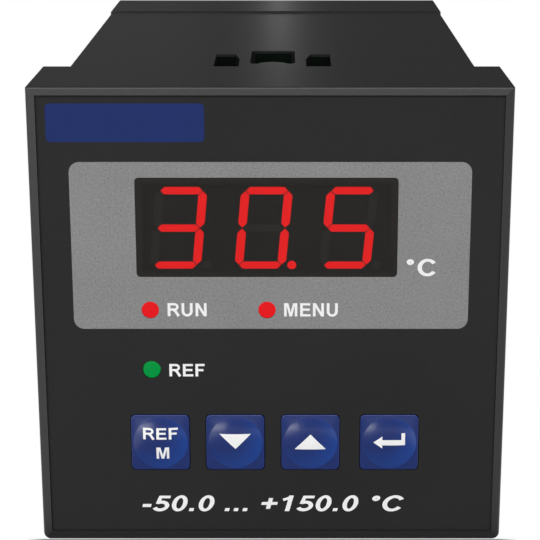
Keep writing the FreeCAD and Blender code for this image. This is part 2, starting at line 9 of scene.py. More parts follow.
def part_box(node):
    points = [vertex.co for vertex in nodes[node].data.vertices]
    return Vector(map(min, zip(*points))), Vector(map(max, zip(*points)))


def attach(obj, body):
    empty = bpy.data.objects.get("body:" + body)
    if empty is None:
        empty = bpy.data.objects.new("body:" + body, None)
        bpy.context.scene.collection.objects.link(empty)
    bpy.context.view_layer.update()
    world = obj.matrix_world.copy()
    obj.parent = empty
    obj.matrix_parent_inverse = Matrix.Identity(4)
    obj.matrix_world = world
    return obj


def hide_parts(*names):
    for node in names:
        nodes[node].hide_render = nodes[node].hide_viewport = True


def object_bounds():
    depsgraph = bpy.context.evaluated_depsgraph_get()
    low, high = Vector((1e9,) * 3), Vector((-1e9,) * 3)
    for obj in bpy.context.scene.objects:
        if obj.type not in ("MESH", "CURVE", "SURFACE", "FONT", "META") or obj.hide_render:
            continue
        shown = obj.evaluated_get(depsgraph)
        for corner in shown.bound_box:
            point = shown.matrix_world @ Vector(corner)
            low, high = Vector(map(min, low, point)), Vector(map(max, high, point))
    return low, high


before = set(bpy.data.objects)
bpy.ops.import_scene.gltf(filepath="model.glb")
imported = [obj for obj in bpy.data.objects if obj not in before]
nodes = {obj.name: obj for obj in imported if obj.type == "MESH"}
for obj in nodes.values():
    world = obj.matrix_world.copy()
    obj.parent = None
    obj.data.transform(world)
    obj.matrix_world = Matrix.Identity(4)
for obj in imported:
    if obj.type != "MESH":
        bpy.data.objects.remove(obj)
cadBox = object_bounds()
mm = 0.001
print("frame loaded:", len(nodes), "nodes")


def level(red, green=None, blue=None):
    # picture levels, 0 to 255, as the linear colour that a shader takes
    parts = (red, red, red) if green is None else (red, green, blue)
    shares = [part / 255 for part in parts]
    linear = [share / 12.92 if share <= 0.04045 else ((share + 0.055) / 1.055) ** 2.4 for share in shares]
    return (*linear, 1)


class Wire:
    # a socket that takes part in sums
    def __init__(self, tree, socket=None):
        self.tree = tree
        self.socket = socket

    def node(self, kind, settings=None, sockets=None, out=0):
        whole = kind.startswith(("GeometryNode", "NodeGroup"))
        made = self.tree.nodes.new(kind if whole else "ShaderNode" + kind)
        for name, value in (settings or {}).items():
            setattr(made, name, value)
        for name, value in (sockets or {}).items():
            self.feed(made.inputs[name], value)
        return Wire(self.tree, made.outputs[out] if made.outputs else None)

    def twin(self, name):
        # another output of the same node
        return Wire(self.tree, self.socket.node.outputs[name])

    def parts(self):
        # X, Y and Z of a vector
        x = self.node("SeparateXYZ", sockets={"Vector": self})
        return x, x.twin("Y"), x.twin("Z")

    def feed(self, target, value):
        if isinstance(value, Wire):
            self.tree.links.new(value.socket, target)
        else:
            target.default_value = value

    def reckon(self, operation, first, second=0.0):
        return self.node("Math", {"operation": operation}, {0: first, 1: second})

    def __add__(self, other):
        return self.reckon("ADD", self, other)

    def __radd__(self, other):
        return self.reckon("ADD", other, self)

    def __sub__(self, other):
        return self.reckon("SUBTRACT", self, other)

    def __rsub__(self, other):
        return self.reckon("SUBTRACT", other, self)

    def __mul__(self, other):
        return self.reckon("MULTIPLY", self, other)

    def __rmul__(self, other):
        return self.reckon("MULTIPLY", other, self)

    def __truediv__(self, other):
        return self.reckon("DIVIDE", self, other)

    def __rtruediv__(self, other):
        return self.reckon("DIVIDE", other, self)

    def __abs__(self):
        return self.reckon("ABSOLUTE", self)

    def most(self, other):
        return self.reckon("MAXIMUM", self, other)

    def least(self, other):
        return self.reckon("MINIMUM", self, other)

    def below(self, limit):
        # 1 where the value is under the limit, else 0
        return self.reckon("LESS_THAN", self, limit)

    def root(self):
        return self.reckon("SQRT", self)

    def clamped(self):
        return self.node("Clamp", sockets={"Value": self})

    def between(self, first, second):
        # the first colour at 0, the second at 1
        return self.node("Mix", {"data_type": "RGBA"}, {0: self, 6: first, 7: second}, out=2)


class Finish:
    # one material: fixed values on the shader, wires for what varies
    def __init__(self, name, fixed):
        self.material = bpy.data.materials.new(name)
        self.material.use_nodes = True
        self.tree = self.material.node_tree
        self.shader = self.tree.nodes["Principled BSDF"]
        for socket, value in fixed.items():
            self.shader.inputs[socket].default_value = value
        self.wire = Wire(self.tree)
        self.place = self.wire.node("TexCoord", out="Object")

    def grain(self, size, detail=2.0, stretch=None):
        # noise with cells of the given size in mm, from 0 to 1
        place = self.place
        if stretch:
            place = self.wire.node("Mapping", {"vector_type": "POINT"}, {"Vector": place, "Scale": stretch})
        sockets = {"Vector": place, "Scale": 1 / (size * mm), "Detail": detail}
        return self.wire.node("TexNoise", {"noise_dimensions": "3D"}, sockets)

    def set(self, socket, value):
        self.wire.feed(self.shader.inputs[socket], value)

    def bump(self, height, depth, strength, over=None):
        sockets = {"Strength": strength, "Distance": depth * mm, "Height": height}
        if over:
            sockets["Normal"] = over
        self.set("Normal", self.wire.node("Bump", sockets=sockets))


# Plain moulded or printed surfaces: colour drifts a little, the grain shows in colour, gloss and relief
mouldedLook = {"fineShare": 0.6, "driftDetail": 3.0, "contrast": 2.0, "roughSpread": 0.12}


def mouldedFinish(name, look):
    made = Finish(name, {"Specular IOR Level": look["shine"], **look.get("fixed", {})})
    fine = made.grain(look["grain"])
    broad = made.grain(look["drift"], mouldedLook["driftDetail"])
    fineShare = look.get("fineShare", mouldedLook["fineShare"])
    mixed = (fine * fineShare + broad * (1 - fineShare)).clamped()
    contrast = ((mixed - 0.5) * mouldedLook["contrast"] + 0.5).clamped()
    red, green, blue, _ = look["colour"]
    low, high = [
        (red * share, green * share, blue * share, 1) for share in (1 - look["spread"], 1 + look["spread"])
    ]
    made.set("Base Color", contrast.between(low, high))
    made.set("Roughness", (fine - 0.5) * mouldedLook["roughSpread"] + look["rough"])
    form = look["form"](made) if "form" in look else None
    made.bump(fine, look["relief"], look["bump"], form)
    return made


# Worked metal: fine lines along one axis, tarnish in broad patches
metalLook = {
    "lineDetail": 3.0, "drift": 2.5, "driftDetail": 4.0, "tarnishFrom": 0.45, "tarnishGain": 2.5,
    "roughSpread": 0.18, "relief": 0.006, "bump": 0.35,
}


def metalFinish(name, look):
    made = Finish(name, {"Metallic": 1.0})
    lines = made.grain(look["grain"], metalLook["lineDetail"], look["stretch"])
    patches = made.grain(metalLook["drift"], metalLook["driftDetail"])
    tarnish = ((patches - metalLook["tarnishFrom"]) * metalLook["tarnishGain"]).clamped()
    made.set("Base Color", tarnish.between(look["colour"], look["tarnish"]))
    made.set("Roughness", lines * metalLook["roughSpread"] + look["rough"])
    made.bump(lines, look.get("relief", metalLook["relief"]), metalLook["bump"])
    return made


# Lit lenses and bars: the glow is the colour that is seen, a touch brighter in the middle of the grain
litLook = {"shine": 0.06, "relief": 0.004, "bump": 0.2}


def litFinish(name, look):
    made = Finish(name, {
        "Specular IOR Level": litLook["shine"], "Emission Strength": look["glow"], "Roughness": look["rough"],
    })
    cloud = made.grain(look["grain"])
    made.set("Base Color", cloud.between(look["body"], look["bodyHigh"]))
    made.set("Emission Color", cloud.between(look["colour"], look["colourHigh"]))
    made.bump(cloud, litLook["relief"], litLook["bump"])
    return made


# Front of the bezel's rim, in mm and slopes: falls back towards the outer edge, and shades a little rounder
rimLook = {"inner": 23.1, "front": -12.9, "fall": 0.09, "crown": 0.21}


def rimFall(place):
    # how far a point of the rim's front lies outside its inner edge
    across, depth, up = place.parts()
    outward = abs(across).most(abs(up))
    front = depth.below(rimLook["front"] * mm)
    return (outward - rimLook["inner"] * mm).most(0.0) * front


def rimCrown(made):
    height = 0 - rimFall(made.place) * rimLook["crown"]
    return made.wire.node("Bump", sockets={"Strength": 1.0, "Distance": 1.0, "Height": height})


def slopeRim(thing):
    tree = bpy.data.node_groups.new("rimSlope", "GeometryNodeTree")
    for way in ("INPUT", "OUTPUT"):
        tree.interface.new_socket("Geometry", in_out=way, socket_type="NodeSocketGeometry")
    wire = Wire(tree)
    shape = wire.node("NodeGroupInput")
    back = rimFall(wire.node("GeometryNodeInputPosition")) * rimLook["fall"]
    move = wire.node("CombineXYZ", sockets={"Y": back})
    moved = wire.node("GeometryNodeSetPosition", sockets={"Geometry": shape, "Offset": move})
    wire.node("NodeGroupOutput", sockets={"Geometry": moved})
    thing.modifiers.new("rimSlope", "NODES").node_group = tree


caseLook = {
    "colour": level(27), "spread": 0.25, "grain": 0.22, "drift": 9.0,
    "rough": 0.4, "relief": 0.012, "bump": 0.6, "shine": 0.46,
    "fixed": {"Coat Weight": 0.3, "Coat Roughness": 0.3}, "form": rimCrown,
}
sheetLook = {
    "colour": level(42), "spread": 0.20, "grain": 0.16, "drift": 18.0,
    "rough": 0.6, "relief": 0.004, "bump": 0.3, "shine": 0.12,
}
greyLook = {
    "colour": level(139), "spread": 0.26, "grain": 0.20, "drift": 6.0, "fineShare": 0.85,
    "rough": 0.55, "relief": 0.004, "bump": 0.25, "shine": 0.2,
}
plateLook = {
    "colour": level(34, 50, 106), "spread": 0.08, "grain": 0.18, "drift": 8.0,
    "rough": 0.5, "relief": 0.003, "bump": 0.2, "shine": 0.1,
}
inkLook = {
    "colour": level(250), "spread": 0.02, "grain": 0.12, "drift": 2.0,
    "rough": 0.55, "relief": 0.002, "bump": 0.2, "shine": 0.2,
}
rubberLook = {
    "colour": level(30, 30, 31), "spread": 0.12, "grain": 0.30, "drift": 7.0,
    "rough": 0.8, "relief": 0.02, "bump": 0.4, "shine": 0.15,
}
displayLook = {
    "colour": level(60, 58, 55), "spread": 0.05, "grain": 0.25, "drift": 6.0,
    "rough": 0.7, "relief": 0.003, "bump": 0.2, "shine": 0.1,
}
darkBarLook = {
    "colour": level(92, 90, 86), "spread": 0.06, "grain": 0.20, "drift": 3.0,
    "rough": 0.6, "relief": 0.002, "bump": 0.2, "shine": 0.1,
}
plungerLook = {
    "colour": level(205, 203, 196), "spread": 0.04, "grain": 0.30, "drift": 2.0,
    "rough": 0.5, "relief": 0.006, "bump": 0.3, "shine": 0.3,
}
switchLook = {
    "colour": level(36, 36, 38), "spread": 0.10, "grain": 0.25, "drift": 3.0,
    "rough": 0.55, "relief": 0.008, "bump": 0.35, "shine": 0.3,
}
relayLook = {
    "colour": level(30, 62, 128), "spread": 0.07, "grain": 0.30, "drift": 6.0,
    "rough": 0.45, "relief": 0.008, "bump": 0.3, "shine": 0.35,
}
terminalLook = {
    "colour": level(44, 46, 46), "spread": 0.09, "grain": 0.26, "drift": 5.0,
    "rough": 0.5, "relief": 0.010, "bump": 0.35, "shine": 0.3,
}
brassLook = {
    "colour": level(206, 168, 92), "tarnish": level(168, 128, 64), "grain": 0.10,
    "stretch": (1.0, 0.12, 1.0), "rough": 0.28,
}
steelLook = {
    "colour": level(190, 191, 194), "tarnish": level(150, 151, 155), "grain": 0.08,
    "stretch": (1.0, 1.0, 0.2), "rough": 0.24,
}
coreLook = {
    "colour": level(118, 116, 114), "tarnish": level(84, 80, 78), "grain": 0.35,
    "stretch": (0.02, 1.0, 0.02), "rough": 0.42, "relief": 0.03,
}
copperLook = {
    "colour": level(186, 104, 58), "tarnish": level(140, 70, 38), "grain": 0.28,
    "stretch": (0.03, 0.03, 1.0), "rough": 0.30, "relief": 0.05,
}
canLook = {
    "colour": level(52, 56, 78), "spread": 0.06, "grain": 0.40, "drift": 5.0,
    "rough": 0.35, "relief": 0.004, "bump": 0.2, "shine": 0.5,
}
barLook = {
    "colour": level(255, 0, 8), "colourHigh": level(255, 4, 14), "body": level(100, 6, 8),
    "bodyHigh": level(115, 10, 12), "grain": 0.5, "glow": 2.8, "rough": 0.5,
}
redLensLook = {
    "colour": level(222, 20, 26), "colourHigh": level(228, 26, 32), "body": level(60, 8, 10),
    "bodyHigh": level(70, 12, 14), "grain": 0.4, "glow": 0.95, "rough": 0.35,
}
greenLensLook = {
    "colour": level(0, 138, 56), "colourHigh": level(2, 144, 62), "body": level(4, 44, 22),
    "bodyHigh": level(8, 52, 28), "grain": 0.4, "glow": 0.95, "rough": 0.35,
}


# Smoked pane: dark tint that lets the bars through, denser at a border printed round it
paneLook = {
    "tint": level(47, 46, 43), "tintHigh": level(50, 48, 46), "cover": 0.5, "shine": 0.15,
    "rough": 0.22, "roughSpread": 0.08, "cloud": 5.0, "cloudDetail": 3.0,
    "border": 0.30, "sideBorder": 0.40, "fade": 0.55, "borderTint": level(40, 38, 36),
}


def paneFinish():
    made = Finish("smokedPane", {"Specular IOR Level": paneLook["shine"]})
    cloud = made.grain(paneLook["cloud"], paneLook["cloudDetail"])
    low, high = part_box("display_window")
    across, _, up = made.place.parts()
    # how far a point lies inside the border
    clearX = (high.x - low.x) / 2 - paneLook["sideBorder"] * mm
    clearZ = (high.z - low.z) / 2 - paneLook["border"] * mm
    beside = clearX - abs(across - (low.x + high.x) / 2)
    above = clearZ - abs(up - (low.z + high.z) / 2)
    border = 1 - (beside.least(above) / (paneLook["fade"] * mm)).clamped()
    tint = cloud.between(paneLook["tint"], paneLook["tintHigh"])
    made.set("Base Color", border.between(tint, paneLook["borderTint"]))
    made.set("Alpha", border * (1 - paneLook["cover"]) + paneLook["cover"])
    made.set("Roughness", cloud * paneLook["roughSpread"] + paneLook["rough"])
    return made


# Blue key caps: deep blue, with a painted glow of lighter blue towards the lower right of the raised round,
# where light through the dome would gather
keyLook = {
    # clear: the lighter blue of the painted glow
    "deep": level(14, 41, 109), "clear": level(8, 72, 168), "shine": 0.75, "rough": 0.2, "roughSpread": 0.06,
    "grain": 0.2, "grainShare": 0.12, "relief": 0.002, "bump": 0.25,
    "glowLean": 0.35, "rise": 0.45, "start": 0.12, "edge": 1.03, "edgeGain": 20,
}


def keyFinish(name, x, z, radius):
    made = Finish(name, {"Specular IOR Level": keyLook["shine"]})
    placeX, _, placeZ = made.place.parts()
    across = (placeX - x) / radius
    up = (placeZ - z) / radius
    reach = (across * across + up * up).root()
    # painted glow: the clear blue rises towards the lower right and the rim of the raised round
    fall = ((across - up) * keyLook["glowLean"] + reach * keyLook["rise"] - keyLook["start"]).clamped()
    inside = ((keyLook["edge"] - reach) * keyLook["edgeGain"]).clamped()
    fine = made.grain(keyLook["grain"])
    share = (fall * inside + (fine - 0.5) * keyLook["grainShare"]).clamped()
    made.set("Base Color", share.between(keyLook["deep"], keyLook["clear"]))
    made.set("Roughness", fine * keyLook["roughSpread"] + keyLook["rough"])
    made.bump(fine, keyLook["relief"], keyLook["bump"])
    return made


# Board laminate: green mask over a fine weave, with the tracks showing as lighter lines
boardLook = {
    "mask": level(22, 70, 44), "track": level(34, 96, 60), "shine": 0.45, "rough": 0.35, "roughSpread": 0.1,
    "weave": 0.45, "bandScale": 0.314, "weaveBend": 0.4, "weaveShare": 0.2,
    "trackStep": 2.54, "trackRow": 4, "trackWidth": 0.02, "trackShift": 0.35, "trackShare": 0.8,
    "relief": 0.02, "bump": 0.4,
}


def boardFinish():
    made = Finish("boardLaminate", {"Specular IOR Level": boardLook["shine"]})
    weave = made.wire.node("TexWave", {"wave_type": "BANDS", "bands_direction": "X"}, {
        "Vector": made.place, "Scale": boardLook["bandScale"] / (boardLook["weave"] * mm),
        "Distortion": boardLook["weaveBend"],
    })
    lines = made.wire.node("TexBrick", {"offset": boardLook["trackShift"]}, {
        "Vector": made.place, "Scale": 1 / (boardLook["trackRow"] * boardLook["trackStep"] * mm),
        "Mortar Size": boardLook["trackWidth"],
    }, out="Fac")
    woven = weave * boardLook["weaveShare"]
    shown = (lines * boardLook["trackShare"] + woven).clamped()
    made.set("Base Color", shown.between(boardLook["mask"], boardLook["track"]))
    made.set("Roughness", weave * boardLook["roughSpread"] + boardLook["rough"])
    made.bump(lines + woven, boardLook["relief"], boardLook["bump"])
    return made


finishes = {
    "casePlastic": mouldedFinish("casePlastic", caseLook),
    "frontSheet": mouldedFinish("frontSheet", sheetLook),
    "greyPrint": mouldedFinish("greyPrint", greyLook),
    "bluePrint": mouldedFinish("bluePrint", plateLook),
    "whiteInk": mouldedFinish("whiteInk", inkLook),
    "gasketRubber": mouldedFinish("gasketRubber", rubberLook),
    "displayBody": mouldedFinish("displayBody", displayLook),
    "darkBar": mouldedFinish("darkBar", darkBarLook),
    "plungerPlastic": mouldedFinish("plungerPlastic", plungerLook),
    "switchPlastic": mouldedFinish("switchPlastic", switchLook),
    "relayPlastic": mouldedFinish("relayPlastic", relayLook),
    "terminalPlastic": mouldedFinish("terminalPlastic", terminalLook),
    "capacitorSleeve": mouldedFinish("capacitorSleeve", canLook),
    "clampBrass": metalFinish("clampBrass", brassLook),
    "screwSteel": metalFinish("screwSteel", steelLook),
    "coreSteel": metalFinish("coreSteel", coreLook),
    "coilCopper": metalFinish("coilCopper", copperLook),
    "litBar": litFinish("litBar", barLook),
    "redLens": litFinish("redLens", redLensLook),
    "greenLens": litFinish("greenLens", greenLensLook),
    "smokedPane": paneFinish(),
    "boardLaminate": boardFinish(),
}
print("finishes made:", len(finishes))

# Finish of each solid that stays in view, and how far its edges are broken, in mm
dressed = {
    "housing": ("casePlastic", 0.10),
    "rear_cover": ("casePlastic", 0.04),
    "panel_gasket": ("gasketRubber", 0.15),
    "front_overlay": ("frontSheet", 0),
    "display_window": ("smokedPane", 0),
    "led_display": ("displayBody", 0),
    "lit_segments": ("litBar", 0),
    "unlit_segments": ("darkBar", 0),
    "display_board": ("boardLaminate", 0),
    "power_board": ("boardLaminate", 0),
    "logic_board": ("boardLaminate", 0),
    "power_header": ("switchPlastic", 0.08),
    "logic_header": ("switchPlastic", 0.08),
    "transformer_core": ("coreSteel", 0.08),
    "transformer_coil": ("coilCopper", 0.25),
    "output_relay": ("relayPlastic", 0.10),
    "smoothing_capacitor": ("capacitorSleeve", 0.15),
    "bridge_rectifier": ("switchPlastic", 0.12),
    "voltage_regulator": ("switchPlastic", 0.06),
    "microcontroller": ("switchPlastic", 0.05),
    "input_amplifier": ("switchPlastic", 0.05),
    "power_terminals": ("terminalPlastic", 0.10),
    "signal_terminals": ("terminalPlastic", 0.10),
    "terminal_clamps": ("clampBrass", 0.05),
}
for keyName in ("set", "down", "up", "enter"):
    dressed[keyName + "_switch"] = ("switchPlastic", 0.06)
    dressed[keyName + "_plunger"] = ("plungerPlastic", 0.10)


def paint(thing, finish):
    thing.data.materials.clear()
    thing.data.materials.append(finishes[finish].material)


# Broken edges: seams joined within a reach in mm, then edges over an angle in degrees rounded
edgeLook = {"join": 0.0005, "segments": 2, "angle": 40}


def joinSeams(thing, name):
    weld = thing.modifiers.new(name, "WELD")
    weld.merge_threshold = edgeLook["join"] * mm


def breakEdges(thing, width):
    joinSeams(thing, "joinSeams")
    soft = thing.modifiers.new("brokenEdges", "BEVEL")
    soft.width = width * mm
    soft.segments = edgeLook["segments"]
    soft.limit_method = "ANGLE"
    soft.angle_limit = math.radians(edgeLook["angle"])
    soft.use_clamp_overlap = True
    soft.harden_normals = True
    joinSeams(thing, "joinEdges")


slopeRim(nodes["housing"])
for nodeName, (finish, edge) in dressed.items():
    paint(nodes[nodeName], finish)
    if edge:
        breakEdges(nodes[nodeName], edge)
print("solids dressed:", len(dressed))


def addPiece(name, work, finish, body, sharp=35):
    bmesh.ops.recalc_face_normals(work, faces=work.faces[:])
    mesh = bpy.data.meshes.new(name)
    work.to_mesh(mesh)
    work.free()
    mesh.shade_smooth()
    mesh.set_sharp_from_angle(angle=math.radians(sharp))
    thing = bpy.data.objects.new(name, mesh)
    bpy.context.scene.collection.objects.link(thing)
    if isinstance(finish, str):
        paint(thing, finish)
    else:
        mesh.materials.append(finish.material)
    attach(thing, body)
    return thing


def joinLoops(work, loops):
    # closed skin over loops of equal count, in mm
    rings = [[work.verts.new(Vector(point) * mm) for point in loop] for loop in loops]
    count = len(rings[0])
    for near, far in zip(rings, rings[1:]):
        for index in range(count):
            after = (index + 1) % count
            work.faces.new((near[index], near[after], far[after], far[index]))
    work.faces.new(rings[0][::-1])
    work.faces.new(rings[-1])


def roundedOutline(halfX, halfZ, radius, turn=6, side=8):
    # points round a rectangle with round corners, with extra points along its sides
    corners = [(1, 1, 0), (-1, 1, 90), (-1, -1, 180), (1, -1, 270)]
    points = []
    for signX, signZ, start in corners:
        for step in range(turn + 1):
            angle = math.radians(start + 90 * step / turn)
            points.append((
                signX * (halfX - radius) + radius * math.cos(angle),
                signZ * (halfZ - radius) + radius * math.sin(angle),
            ))
    spaced = []
    for index, point in enumerate(points):
        spaced.append(point)
        after = points[(index + 1) % len(points)]
        if index % (turn + 1) == turn:
            for step in range(1, side):
                share = step / side
                spaced.append((
                    point[0] + (after[0] - point[0]) * share, point[1] + (after[1] - point[1]) * share,
                ))
    return spaced


def ringAt(x, z, points, y):
    return [(x + dx, y, z + dz) for dx, dz in points]


def flatWork(curve):
    # filled outline of a flat curve in mm, stood up to face the front
    holder = bpy.data.objects.new("outline", curve)
    bpy.context.scene.collection.objects.link(holder)
    seen = holder.evaluated_get(bpy.context.evaluated_depsgraph_get())
    mesh = bpy.data.meshes.new_from_object(seen)
    work = bmesh.new()
    work.from_mesh(mesh)
    bpy.data.objects.remove(holder)
    bpy.data.meshes.remove(mesh)
    bpy.data.curves.remove(curve)
    bmesh.ops.remove_doubles(work, verts=work.verts[:], dist=1e-7)
    for vert in work.verts:
        vert.co = (vert.co.x * mm, 0, vert.co.y * mm)
    return work


def outlineCurve(outlines):
    curve = bpy.data.curves.new("outline", "CURVE")
    curve.dimensions = "2D"
    curve.fill_mode = "BOTH"
    for points in outlines:
        spline = curve.splines.new("POLY")
        spline.points.add(len(points) - 1)
        for point, (x, z) in zip(spline.points, points):
            point.co = (x, z, 0, 1)
        spline.use_cyclic_u = True
    return curve


# Letters drawn as strokes on a fine grid: heights, widths and places are in its units
capHeight = 1466
bowlStroke = 250
stemMiddle = 297
mergeReach = 0.01
bandSteps = 36


def ribbon(points, width):
    # quads along a centre line, mitred where it bends
    line = [Vector(point) for point in points]
    sides = []
    for index, point in enumerate(line):
        into = (point - line[index - 1]) if index else (line[1] - point)
        away = (line[index + 1] - point) if index + 1 < len(line) else into
        along = (into.normalized() + away.normalized()).normalized()
        across = Vector((-along.y, along.x))
        square = Vector((-into.y, into.x)).normalized()
        reach = width / 2 / across.dot(square)
        sides.append((point + across * reach, point - across * reach))
    return [(near[0], near[1], far[1], far[0]) for near, far in zip(sides, sides[1:])]


def arcPoints(x, y, halfX, halfY, start, end, steps=20):
    angles = [math.radians(start + (end - start) * step / steps) for step in range(steps + 1)]
    return [(x + halfX * math.cos(angle), y + halfY * math.sin(angle)) for angle in angles]


def band(x, y, halfX, halfY, thickX, thickY, start=0, end=360):
    # quads between an outer and an inner oval
    outer = arcPoints(x, y, halfX, halfY, start, end, bandSteps)
    inner = arcPoints(x, y, halfX - thickX, halfY - thickY, start, end, bandSteps)
    pairs = list(zip(outer, inner))
    return [
        tuple(Vector(spot) for spot in (near[0], far[0], far[1], near[1]))
        for near, far in zip(pairs, pairs[1:])
    ]


def bar(left, right, foot, head):
    return [tuple(Vector(spot) for spot in ((left, foot), (right, foot), (right, head), (left, head)))]


def leg(head, foot, width):
    # slanting stroke from cap height down to the base line
    spots = ((foot, 0), (foot + width, 0), (head + width, capHeight), (head, capHeight))
    return [tuple(Vector(spot) for spot in spots)]


def bowl(foot, head, middle, reach):
    # straight out from the stem, round and back
    half = (head - foot) / 2
    turn = arcPoints(middle, (head + foot) / 2, reach, half, 90, -90)
    return ribbon([(stemMiddle, head)] + turn + [(stemMiddle, foot)], bowlStroke)


# Width to the next letter, and the strokes
letterForms = {
    "R": (1479, lambda: bar(149, 445, 0, capHeight) + bowl(742, 1341, 860, 330)
          + ribbon([(840, 700), (1010, 520), (1310, 0)], 290)),
    "U": (1479, lambda: bar(147, 443, 560, capHeight) + bar(1031, 1327, 560, capHeight)
          + band(737, 560, 590, 585, 296, 257, 180, 360)),
    "N": (1479, lambda: bar(152, 437, 0, capHeight) + bar(1042, 1327, 0, capHeight) + leg(152, 1022, 305)),
    "M": (1706, lambda: bar(145, 420, 0, capHeight) + bar(1286, 1561, 0, capHeight)
          + leg(342, 718, 256) + leg(1108, 732, 256)),
    "E": (1366, lambda: bar(149, 445, 0, capHeight) + bar(300, 1236, 1218, capHeight)
          + bar(300, 1179, 631, 879) + bar(300, 1273, 0, 248)),
    "F": (1251, lambda: bar(151, 447, 0, capHeight) + bar(300, 1156, 1218, capHeight)
          + bar(300, 1024, 617, 865)),
    "C": (1479, lambda: band(786, 733, 690, 758, 304, 253, 34, 326)),
    "°": (819, lambda: band(410, 1203, 250, 250, 215, 215)),
    "0": (1139, lambda: band(569, 733, 485, 758, 284, 248)),
    "1": (1139, lambda: bar(515, 800, 0, capHeight) + ribbon([(690, 1400), (480, 1190), (200, 1060)], 240)),
    "5": (1139, lambda: bar(300, 1010, 1210, 1450) + ribbon([(400, 1400), (300, 690)], 240)
          + ribbon(arcPoints(545, 482, 400, 365, 128, -155), 270)),
    ".": (569, lambda: bar(146, 427, 0, 281)),
    "-": (682, lambda: bar(70, 612, 391, 672)),
    "+": (1196, lambda: bar(93, 1103, 592, 858) + bar(465, 731, 220, 1230)),
    " ": (569, lambda: []),
}


def fitLetters(words, box, slant=0.0):
    # letters stretched to fill a box of left, right, foot and head, in mm
    quads = []
    start = 0
    for letter in words:
        advance, form = letterForms[letter]
        quads += [[Vector((spot.x + start + slant * spot.y, spot.y)) for spot in quad] for quad in form()]
        start += advance
    spots = [spot for quad in quads for spot in quad]
    corners = [list(range(index, index + 4)) for index in range(0, len(spots), 4)]
    places, _, faces, _, _, sources = delaunay_2d_cdt(spots, [], corners, 0, mergeReach)
    filled = [face for face, source in zip(faces, sources) if source]
    lowX, highX = min(spot.x for spot in spots), max(spot.x for spot in spots)
    lowY, highY = min(spot.y for spot in spots), max(spot.y for spot in spots)
    left, right, foot, head = box
    scaleX = (right - left) / (highX - lowX)
    scaleZ = (head - foot) / (highY - lowY)
    work = bmesh.new()
    verts = [
        work.verts.new(((left + (spot.x - lowX) * scaleX) * mm, 0, (foot + (spot.y - lowY) * scaleZ) * mm))
        for spot in places
    ]
    for face in filled:
        work.faces.new([verts[index] for index in face])
    bmesh.ops.delete(work, geom=[vert for vert in work.verts if not vert.link_faces], context="VERTS")
    return work


def thicken(work, surface, lift, sink=0.0, cell=None):
    # print that stands a little proud of the surface y = surface(x, z), all in mm
    if cell:
        for axis, span in ((0, Vector((1, 0, 0))), (2, Vector((0, 0, 1)))):
            values = [vert.co[axis] for vert in work.verts]
            cut = math.ceil(min(values) / (cell * mm)) * cell * mm
            while cut < max(values):
                everything = work.verts[:] + work.edges[:] + work.faces[:]
                bmesh.ops.bisect_plane(work, geom=everything, plane_co=span * cut, plane_no=span, dist=1e-8)
                cut += cell * mm
    for vert in work.verts:
        vert.co.y = (surface(vert.co.x / mm, vert.co.z / mm) - lift) * mm
    grown = bmesh.ops.extrude_face_region(work, geom=work.faces[:], use_keep_orig=True)
    for part in grown["geom"]:
        if isinstance(part, bmesh.types.BMVert):
            part.co.y += (lift + sink) * mm
    return work


# Prints on the front sheet: grey field with openings, bare blue plate, white legends
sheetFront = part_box("front_overlay")[0].y / mm
paneLow, paneHigh = [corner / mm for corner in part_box("display_window")]
fieldLook = {"left": -20.01, "right": 20.02, "foot": -0.78, "head": 16.52, "corner": 1.05, "lift": 0.012}
plateBox = {"left": -22.14, "right": -6.50, "foot": 18.52, "head": 22.38, "corner": 0.45, "lift": 0.014}
legendBoxes = {
    "outLegend": ("RUN", (-10.47, -6.51, 0.49, 1.95)),
    "progLegend": ("MENU", (1.35, 6.80, 0.51, 1.94)),
    "setLegend": ("REF", (-10.42, -6.80, -5.96, -4.56)),
    "unitLegend": ("°C", (13.70, 16.64, 4.77, 6.60)),
}
rangeLook = {"words": "-50.0 ... +150.0 °C", "box": (-13.55, 13.89, -20.88, -19.06), "slant": 0.2}
legendLift = 0.028


def onSheet(x, z):
    return sheetFront


def shifted(points, x, z):
    return [(x + dx, z + dz) for dx, dz in points]


def circlePoints(radius, count):
    return [
        (radius * math.cos(2 * math.pi * step / count), radius * math.sin(2 * math.pi * step / count))
        for step in range(count)
    ]


def plainOutline(look):
    halfX = (look["right"] - look["left"]) / 2
    halfZ = (look["head"] - look["foot"]) / 2
    points = roundedOutline(halfX, halfZ, look["corner"], turn=8, side=1)
    return shifted(points, (look["right"] + look["left"]) / 2, (look["head"] + look["foot"]) / 2)


lamps = {"out_lamp": "redLens", "prog_lamp": "redLens", "set_lamp": "greenLens"}
lampPlaces = {}
for lamp in lamps:
    low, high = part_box(lamp)
    lampPlaces[lamp] = ((low.x + high.x) / 2 / mm, (low.z + high.z) / 2 / mm)
holeLook = {"paneGap": 0.05, "paneCorner": 0.35, "lampRadius": 0.89, "lampPoints": 40}
paneOutline = shifted(
    roundedOutline(
        (paneHigh.x - paneLow.x) / 2 + holeLook["paneGap"],
        (paneHigh.z - paneLow.z) / 2 + holeLook["paneGap"],
        holeLook["paneCorner"] + holeLook["paneGap"], side=1,
    ),
    (paneHigh.x + paneLow.x) / 2, (paneHigh.z + paneLow.z) / 2,
)
fieldOutlines = [plainOutline(fieldLook), paneOutline]
for lamp in ("out_lamp", "prog_lamp"):
    hole = circlePoints(holeLook["lampRadius"], holeLook["lampPoints"])
    fieldOutlines.append(shifted(hole, *lampPlaces[lamp]))
work = thicken(flatWork(outlineCurve(fieldOutlines)), onSheet, fieldLook["lift"])
addPiece("greyField", work, "greyPrint", "case")
work = thicken(flatWork(outlineCurve([plainOutline(plateBox)])), onSheet, plateBox["lift"])
addPiece("bluePlate", work, "bluePrint", "case")
for legend, (words, box) in legendBoxes.items():
    work = thicken(fitLetters(words, box), onSheet, legendLift)
    addPiece(legend, work, "whiteInk", "case")
work = fitLetters(rangeLook["words"], rangeLook["box"], rangeLook["slant"])
